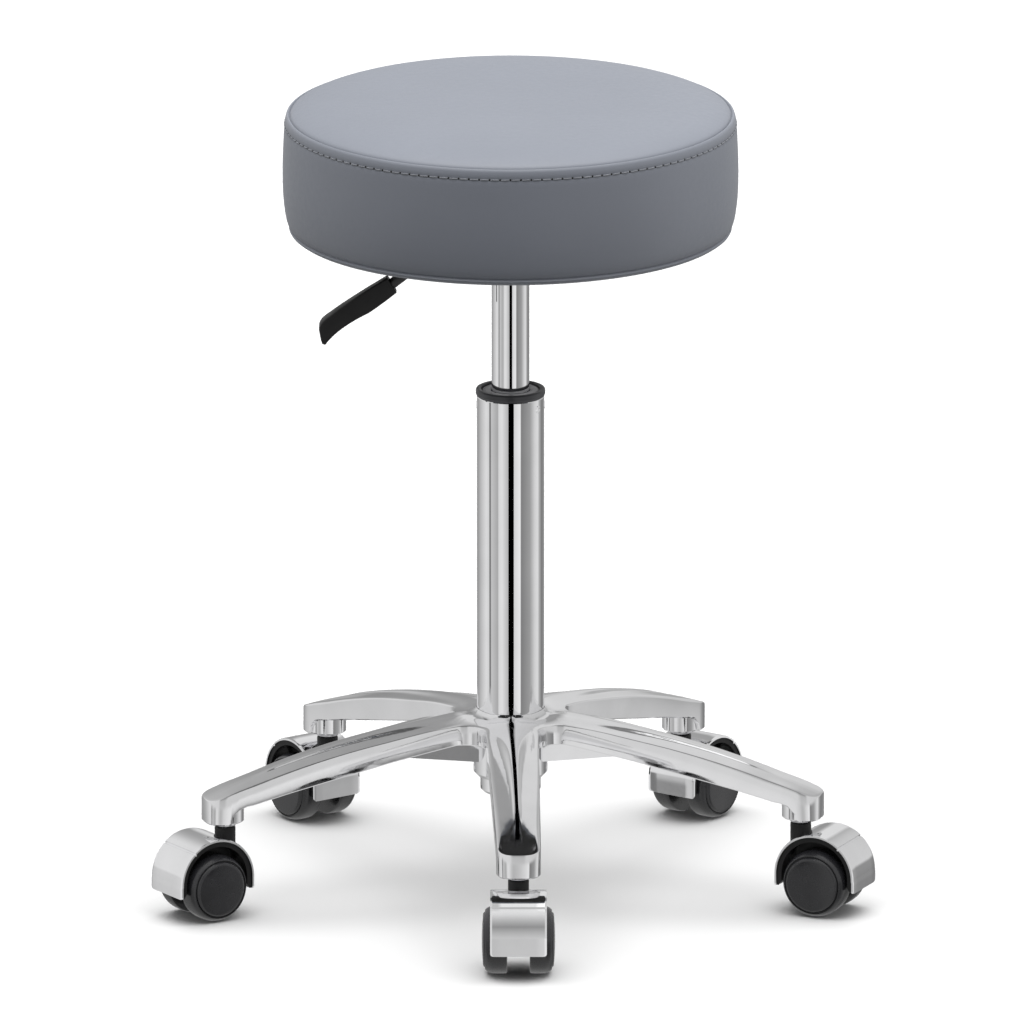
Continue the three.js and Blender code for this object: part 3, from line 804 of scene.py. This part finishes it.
# ---- seat mechanism ----
def rounded_rectangle(length, width, radius, steps=8):
    points = []
    for quarter, (sx, sy) in enumerate(((1, 1), (-1, 1), (-1, -1), (1, -1))):
        for k in range(steps + 1):
            x, y = polar(radius, (quarter + k / steps) * math.pi / 2)
            points.append((sx * (length / 2 - radius) + x, sy * (width / 2 - radius) + y))
    return points


def stacked(outline, levels):
    """An upright closed shape: the plan outline drawn inward by each level's inset, at its height."""
    vertices = []
    for inset, z in levels:
        for x, y in outline:
            vertices.append((x - math.copysign(inset, x), y - math.copysign(inset, y), z))
    return vertices, loft_faces(vertices, len(outline))


def mechanism_pieces():
    plate = stacked(rounded_rectangle(160, 130, 14), ((0.5, 496.5), (0, 497), (0, 499), (0.4, 499.4)))
    put("mechanism_plate", [plate], "seat", BLACK_STEEL, ["seat_plate"])
    shell = rounded_rectangle(76, 53, 5)
    outside = ((4, 468), (1.2, 468.9), (0, 471.5), (0, 493.8), (-1.6, 496.1))
    inside = ((2.5, 496.1), (2.5, 471), (5, 470.5))
    body = stacked(shell, outside + inside)
    socket = turned(((14.3, 466), (18.4, 466), (19, 466.6), (19, 481), (14.3, 481)), 64, True)
    put("mechanism_body", [body], "seat", BLACK_STEEL, ["mechanism_housing"])
    put("mechanism_socket", [socket], "seat", BLACK_STEEL, ["taper_socket"])
    head = ((0, 492.2), (3.4, 492.2), (5.4, 492.5), (6, 493.2), (6, 494.4), (7.4, 494.5), (7.4, 496.2))
    bolt = turned(head + ((3, 496.2), (3, 510), (0, 510)), 24)
    for number in range(1, SEAT_BOLTS + 1):
        centre = box_centre(f"seat_bolt_{number}")
        place = Matrix.Translation((centre.x, centre.y, 0))
        put(f"mechanism_bolt_{number}", [bolt], "seat", ZINC, [f"seat_bolt_{number}"], place)


# ---- seat ----
STITCHES = 136
AROUND = STITCHES * 4
STITCH_Z = 582.6
STITCH_RADIUS = 166.9
STITCH_DROP = 8
STITCH_SLANT = 0.12
# along half a stitch's spacing: how far the thread stands out there, and how thick it is
STITCH_RINGS = ((-0.86, -0.45, 0.3), (-0.7, 0, 0.42), (0, 0.16, 0.46), (0.7, 0, 0.42), (0.86, -0.45, 0.3))
THREAD_SIDES = 8
THREAD_FLATNESS = 0.8
STAPLES = 36
STAPLE_CIRCLE = 137
SEAM = (163.2, 589.6)
SOFT_PROFILE = (
    (0, 602.6), (20, 602.6), (40, 602.5), (60, 602.3), (80, 602), (100, 601.4), (118, 600.5), (134, 599),
    (147, 596.7), (156, 593.9), SEAM, (166.6, 584), (167.6, 572), (168.2, 558), (168.4, 545), (168, 530),
    (166.5, 516), (164, 507), (160.5, 501.6), (154, 500), (140, 500),
)
SEAM_INDEX = SOFT_PROFILE.index(SEAM)
UNDER_INDEX = 17
PAD_SEGMENTS = 72
PAD_PRESSURE = 4
PAD_FRAMES = 20
PAD_GIVE = 2.0


def length_along(profile):
    steps = [0]
    for (r0, z0), (r1, z1) in zip(profile, profile[1:]):
        steps.append(steps[-1] + math.hypot(r1 - r0, z1 - z0))
    return np.array(steps)


def puffed_profile():
    """How far air pressure moves each ring of the cover, from a cloth simulation, in mm."""
    vertices, faces = turned(SOFT_PROFILE, PAD_SEGMENTS)
    mesh = bpy.data.meshes.new("pad_cloth")
    mesh.from_pydata([Vector(v) * MM for v in vertices], [], faces)
    pad = bpy.data.objects.new("pad_cloth", mesh)
    bpy.context.scene.collection.objects.link(pad)
    rings = len(SOFT_PROFILE)
    held_rings = [SEAM_INDEX, *range(UNDER_INDEX, rings)]
    held = [k * rings + j for k in range(PAD_SEGMENTS) for j in held_rings]
    pad.vertex_groups.new(name="held").add(held, 1.0, "REPLACE")
    cloth = pad.modifiers.new("Cloth", "CLOTH")
    cloth.settings.vertex_group_mass = "held"
    cloth.settings.quality = 6
    cloth.settings.tension_stiffness = 40
    cloth.settings.compression_stiffness = 40
    cloth.settings.use_pressure = True
    cloth.settings.uniform_pressure_force = PAD_PRESSURE
    cloth.settings.effector_weights.gravity = 0
    cloth.point_cache.frame_end = PAD_FRAMES
    for number in range(1, PAD_FRAMES + 1):
        bpy.context.scene.frame_set(number)
    result = pad.evaluated_get(bpy.context.evaluated_depsgraph_get())
    after = np.array([v.co for v in result.data.vertices]).reshape(PAD_SEGMENTS, rings, 3) / MM
    before = np.array(vertices).reshape(PAD_SEGMENTS, rings, 3)
    bpy.context.scene.frame_set(1)
    bpy.data.objects.remove(pad)
    shift = after - before
    size = np.linalg.norm(shift, axis=2, keepdims=True)
    return shift * np.minimum(1, PAD_GIVE / np.maximum(size, 1e-9))


def cover_profile():
    """The finished cover's outline: the crown, the seam's groove and lip, the band and the turned edge."""
    crown = list(SOFT_PROFILE[: SEAM_INDEX - 1])
    crown += [(151.8, 595.4), (156, 593.9), (159, 592.6), (160.8, 591.6), (161.9, 590.7), (162.6, 589.6)]
    groove = [(162.9, 588.6), (163.2, 588.5), (163.6, 589.3)]
    lip = [(164.1, 589.9), (164.8, 589.9), (165.5, 589.2), (166, 588), (166.4, 586.4), (166.7, 585)]
    stitched = [(166.8, 584), (166.9, 583.2), (166.9, 582.6), (166.95, 582), (167, 581), (167.1, 580)]
    band = [(167.3, 577.5), (167.6, 572), (167.9, 565), (168.2, 558), (168.35, 551), (168.4, 545)]
    band += [(168.3, 538), (168, 530), (167.4, 523), (166.5, 516)]
    low = [(165.6, 511.5), (164.6, 508.6), (163.2, 506.6), (162.5, 505.8), (163.2, 505.1), (163.7, 504.3)]
    turned_in = [(163.1, 503.1), (161.8, 502.1), (160.2, 501.1), (157.5, 500.3)]
    under = [(154, 500), (147, 500), (140, 500), (139.6, 500.7)]
    return crown + groove + lip + stitched + band + low + turned_in + under


def seat_cover(shift):
    profile = cover_profile()
    soft_lengths = length_along(SOFT_PROFILE)
    places = np.interp(length_along(profile), (0, length_along(profile)[-1]), (0, soft_lengths[-1]))
    padded_shift = np.concatenate([shift, shift[:1]])
    vertices = []
    for k in range(AROUND):
        angle = 2 * math.pi * k / AROUND
        column_place = k / AROUND * PAD_SEGMENTS
        low = int(column_place)
        share = column_place - low
        here = mix(padded_shift[low], padded_shift[low + 1], share)
        moves = [np.interp(places, soft_lengths, here[:, axis]) for axis in range(3)]
        for j, (radius, z) in enumerate(profile):
            pull = needle_pull(angle, z) if radius > 164 else 0
            x, y = polar(radius - pull, angle)
            vertices.append((x + moves[0][j], y + moves[1][j], z + moves[2][j]))
    return vertices, grid_faces(AROUND, len(profile), wrap_rows=True)


def needle_pull(angle, z):
    """How far the thread draws the band in, most at each needle hole."""
    near = math.exp(-(((z - STITCH_Z) / 1.6) ** 2))
    return near * (0.22 + 0.3 * (0.5 + 0.5 * math.cos(STITCHES * angle)) ** 4)


def stitch(radius, middle):
    """One topstitch: a short thread bent down into a needle hole at each end."""
    rows = []
    for share, lift, thickness in STITCH_RINGS:
        angle = middle + math.pi / STITCHES * share
        for m in range(THREAD_SIDES):
            out, up = polar(thickness, 2 * math.pi * m / THREAD_SIDES)
            x, y = polar(radius + lift + out * THREAD_FLATNESS, angle)
            rows.append((x, y, STITCH_Z + share * STITCH_SLANT + up))
    return rows, loft_faces(rows, THREAD_SIDES)


def stitch_parts(grow):
    """All the topstitches, and the needle holes between them as dark dots of painted shade, on the puffed
    cover.
    """
    radius = STITCH_RADIUS + grow
    stand = Matrix.Translation((radius - 0.45, 0, STITCH_Z)) @ Matrix.Rotation(math.pi / 2, 4, "Y")
    # a small dark lens sitting on the cover at each needle hole, painted shade of the hole's inside
    hole_shade = turned(((0, -0.5), (0.5, -0.42), (0.82, -0.1), (0.84, 0.14), (0.55, 0.34), (0, 0.4)), 10)
    threads = []
    hole_shades = []
    for k in range(STITCHES):
        threads.append(stitch(radius, 2 * math.pi * (k + 0.5) / STITCHES))
        turn = Matrix.Rotation(2 * math.pi * k / STITCHES, 4, "Z")
        hole_shades.append(moved(hole_shade, turn @ stand))
    return threads, hole_shades


def seat_pieces():
    shift = puffed_profile()
    lengths = length_along(SOFT_PROFILE)
    grow = float(np.interp(lengths[SEAM_INDEX] + STITCH_DROP, lengths, shift[0, :, 0]))
    stands_for = ["seat_cover", "foam_pad"]
    cover = put("seat_pad", [seat_cover(shift)], "seat", LEATHER, stands_for)
    threads, hole_shades = stitch_parts(grow)
    put("seat_topstitch", [joined(threads)], "seat", THREAD, weld=0)
    put("seat_needle_hole_shades", [joined(hole_shades)], "seat", HOLE_SHADE, weld=0)
    below = ((0, 499.8), (60, 499.7), (120, 499.8), (141, 499.7))
    cloth = turned(below + ((141.4, 500.1), (60, 500.9), (0, 500.9)), 96)
    put("seat_dust_cloth", [cloth], "seat", FABRIC, ["dust_cover"])
    put("seat_staples", [joined(staples())], "seat", ZINC)


def staples():
    """The wires that hold the dust cloth and the cover's turned-under edge to the board."""
    bar = stacked(rounded_rectangle(1.3, 10, 0.4, 2), ((0.2, 499.3), (0, 499.5), (0, 500.4)))
    wires = []
    for k in range(STAPLES):
        turn = Matrix.Rotation(2 * math.pi * (k + 0.5) / STAPLES, 4, "Z")
        wires.append(moved(bar, turn @ Matrix.Translation((STAPLE_CIRCLE, 0, 0))))
    return wires


# ---- studio ----
FLOOR_ALBEDO = 0.6
FLOOR_DEPTH = 0.0005
FLOOR_HALF = 6
# the background colour is 0.8, so this makes it white to the camera
BACKDROP = 1.25
OVERHEAD = 6.4
WALLS = 0.06
CEILING_BESIDE = 0.86
GROUND = 0.85
# what polished metal sees: brightness by direction round the stool, in degrees, 0 being the front
TENT_PANELS = (
    (-180, 0.55), (-145, 0.42), (-92, 0.95), (-79, 0.86), (-77, 0.22), (-72, 0.24), (-70, 0.74),
    (-44, 0.52), (-41, 0.9), (-29, 0.98), (-9, 0.62), (0, 0.68), (9, 0.85), (32, 1.08),
    (35, 0.9), (36.5, 0.28), (70, 0.44), (92, 0.85), (107, 0.95), (119, 0.48), (135, 0.25), (180, 0.55),
)
# and overhead, in degrees up from the front horizon, over the top and down to the back one
OVERHEAD_PANELS = (
    (0, 0.72), (16, 0.55), (31, 0.36), (46, 0.55), (66, 0.85), (90, 1.05), (112, 1.05), (115, 0.22),
    (123.5, 0.17), (126.5, 0.68), (150, 0.72), (170, 0.66), (180, 0.58),
)

# behind the stool, the share of the ceiling's light by the sideways part of the direction
BEHIND_PANELS = (
    (-1, 1), (-0.45, 1), (-0.28, 0.8), (-0.12, 0.62), (-0.03, 0.6), (0.03, 1.3), (0.2, 1.25),
    (0.27, 0.72), (0.45, 0.85), (1, 1),
)


class World:
    """Small helper that writes the light tent as maths on the direction a ray looks in."""

    def __init__(self):
        world = bpy.data.worlds.new("light_tent")
        world.use_nodes = True
        bpy.context.scene.world = world
        self.tree = world.node_tree
        self.tree.nodes.clear()

    def node(self, kind, **values):
        made = self.tree.nodes.new(kind)
        for key, value in values.items():
            setattr(made, key, value)
        return made

    def math(self, operation, a, b=None, c=None, clamp=False):
        made = self.node("ShaderNodeMath", operation=operation, use_clamp=clamp)
        for socket, value in zip(made.inputs, (a, b, c)):
            if value is None:
                continue
            if isinstance(value, (int, float)):
                socket.default_value = value
            else:
                self.tree.links.new(value, socket)
        return made.outputs[0]

    def step(self, value, start, end):
        made = self.node("ShaderNodeMapRange", interpolation_type="SMOOTHSTEP")
        made.inputs["From Min"].default_value = start
        made.inputs["From Max"].default_value = end
        self.tree.links.new(value, made.inputs["Value"])
        return made.outputs["Result"]

    def mix(self, share, a, b):
        made = self.node("ShaderNodeMix")
        self.tree.links.new(share, made.inputs["Factor"])
        for socket, value in ((made.inputs[2], a), (made.inputs[3], b)):
            if isinstance(value, (int, float)):
                socket.default_value = value
            else:
                self.tree.links.new(value, socket)
        return made.outputs[0]


def tent_ramp(world, position, panels, low, high):
    """Brightness from (place, value) panels between low and high, read at a 0 to 1 position."""
    ramp = world.node("ShaderNodeValToRGB")
    elements = ramp.color_ramp.elements
    while len(elements) < len(panels):
        elements.new(0.5)
    for element, (place, value) in zip(elements, panels):
        element.position = (place - low) / (high - low)
        element.color = (value, value, value, 1)
    world.tree.links.new(position, ramp.inputs["Fac"])
    return ramp.outputs["Color"]


def reflected_tent(world, x, y, z):
    """What mirrors see: tall panels round the sides, a pale floor, and a ceiling with a dark gap."""
    front = world.math("MULTIPLY", y, -1)
    turn = world.math("ARCTAN2", x, front)
    around = world.math("MULTIPLY_ADD", turn, 1 / (2 * math.pi), 0.5)
    sides = tent_ramp(world, around, TENT_PANELS, -180, 180)
    pitch = world.math("MULTIPLY", world.math("ARCTAN2", z, front), 1 / math.pi)
    ceiling = tent_ramp(world, pitch, OVERHEAD_PANELS, 0, 180)
    beside = world.math("MULTIPLY_ADD", x, -0.05, CEILING_BESIDE)
    ceiling = world.mix(world.step(world.math("ABSOLUTE", x), 0.16, 0.4), ceiling, beside)
    across = world.math("MULTIPLY_ADD", x, 0.5, 0.5)
    share = tent_ramp(world, across, BEHIND_PANELS, -1, 1)
    behind = world.step(y, -0.3, -0.1)
    ceiling = world.math("MULTIPLY", ceiling, world.mix(behind, 1.0, share))
    ground = world.mix(world.step(world.math("MULTIPLY", z, -1), 0.6, 0.9), sides, GROUND)
    return world.mix(world.step(z, -0.04, 0.04), ground, ceiling)


def soft_dome(world, x, z):
    """What lights the matt surfaces: a strong soft ceiling, and side walls, the right one brighter."""
    sides = world.math("MULTIPLY_ADD", x, 1.5, 0.25)
    walls = world.math("MULTIPLY_ADD", x, sides, WALLS)
    return world.mix(world.step(z, 0.65, 0.95), walls, OVERHEAD)


def light_tent():
    world = World()
    direction = world.node("ShaderNodeTexCoord").outputs["Generated"]
    split = world.node("ShaderNodeSeparateXYZ")
    world.tree.links.new(direction, split.inputs[0])
    x, y, z = split.outputs
    path = world.node("ShaderNodeLightPath")
    dome = soft_dome(world, x, z)
    seen = world.mix(path.outputs["Is Glossy Ray"], dome, reflected_tent(world, x, y, z))
    shown = world.mix(path.outputs["Is Camera Ray"], seen, BACKDROP)
    background = world.node("ShaderNodeBackground")
    world.tree.links.new(shown, background.inputs["Strength"])
    output = world.node("ShaderNodeOutputWorld")
    world.tree.links.new(background.outputs[0], output.inputs["Surface"])


def flag(name, corners):
    """A black card that only reflections see, and only from the side its corners turn round."""
    mesh = bpy.data.meshes.new(name)
    mesh.from_pydata(corners, [], [(0, 1, 2, 3)])
    card = bpy.data.objects.new(name, mesh)
    bpy.context.scene.collection.objects.link(card)
    mesh.materials.append(one_sided(name, 0.0))
    card.visible_camera = False
    card.visible_diffuse = False
    card.visible_shadow = False
    card.visible_transmission = False


FLAG_AHEAD = 0.06
FLAG_LEFT = 0.006
FLAG_RIGHT = 0.0095
FLAG_LOW = 0.122
FLAG_HIGH = 0.47
# in mm along the front arm, standing above its spine
SPINE_STRIP = ((30, 1.5, 149), (205, 2.2, 117), (205, -2.2, 117), (30, -1.5, 149))


def flags():
    """The dark line down both tubes, and its continuation down the spine of the front arm."""
    front = column.y - FLAG_AHEAD
    left = column.x - FLAG_LEFT
    right = column.x + FLAG_RIGHT
    low_edge = [(right, front, FLAG_LOW), (left, front, FLAG_LOW)]
    high_edge = [(left, front, FLAG_HIGH), (right, front, FLAG_HIGH)]
    flag("column_flag", low_edge + high_edge)
    nearest = min(range(1, ARM_COUNT + 1), key=lambda number: box_centre(f"caster_stem_{number}").y)
    arm = COLUMN_PLACE @ Matrix.Rotation(arm_angle(nearest), 4, "Z")
    flag("spine_flag", [arm @ (Vector(corner) * MM) for corner in SPINE_STRIP])


def one_sided(name, grey):
    """A matt material that is clear from behind."""
    material = bpy.data.materials.new(name)
    material.use_nodes = True
    tree = material.node_tree
    shader = tree.nodes["Principled BSDF"]
    shader.inputs["Base Color"].default_value = (grey, grey, grey, 1)
    shader.inputs["Roughness"].default_value = 1.0
    shader.inputs["Specular IOR Level"].default_value = 0.0
    clear = tree.nodes.new("ShaderNodeBsdfTransparent")
    facing = tree.nodes.new("ShaderNodeNewGeometry")
    choose = tree.nodes.new("ShaderNodeMixShader")
    tree.links.new(facing.outputs["Backfacing"], choose.inputs["Fac"])
    tree.links.new(shader.outputs[0], choose.inputs[1])
    tree.links.new(clear.outputs[0], choose.inputs[2])
    tree.links.new(choose.outputs[0], tree.nodes["Material Output"].inputs["Surface"])
    return material


def floor():
    """The floor under the stool, which takes its shadow."""
    mesh = bpy.data.meshes.new("studio_floor")
    turns = ((-1, -1), (1, -1), (1, 1), (-1, 1))
    corners = [(x * FLOOR_HALF, y * FLOOR_HALF, -FLOOR_DEPTH) for x, y in turns]
    mesh.from_pydata(corners, [], [(0, 1, 2, 3)])
    plane = bpy.data.objects.new("studio_floor", mesh)
    bpy.context.scene.collection.objects.link(plane)
    mesh.materials.append(one_sided("studio_floor", FLOOR_ALBEDO))
    plane.visible_glossy = False
    plane.visible_diffuse = False


CAMERA_DISTANCE = 34.0
CAMERA_ELEVATION = math.radians(15.0)
FRAME_WIDTH = 0.75776
TARGET_X = 0.0011
TARGET_Z = 0.2856


def camera():
    data = bpy.data.cameras.new("camera")
    data.sensor_width = 36
    data.lens = data.sensor_width * CAMERA_DISTANCE / FRAME_WIDTH
    data.clip_end = 200
    eye = bpy.data.objects.new("camera", data)
    bpy.context.scene.collection.objects.link(eye)
    target = Vector((column.x + TARGET_X, column.y, TARGET_Z))
    back = Vector((0, -math.cos(CAMERA_ELEVATION), math.sin(CAMERA_ELEVATION)))
    eye.location = target + back * CAMERA_DISTANCE
    eye.rotation_euler = (-back).to_track_quat("-Z", "Y").to_euler()
    bpy.context.scene.camera = eye
    bpy.context.scene.view_settings.view_transform = "Standard"


paint_kept_nodes()
put("star_casting", star_base(), "base", CAST, ["star_base"])
column_pieces()
tube_marks()
casters()
lever_pieces()
mechanism_pieces()
seat_pieces()
light_tent()
floor()
flags()
camera()
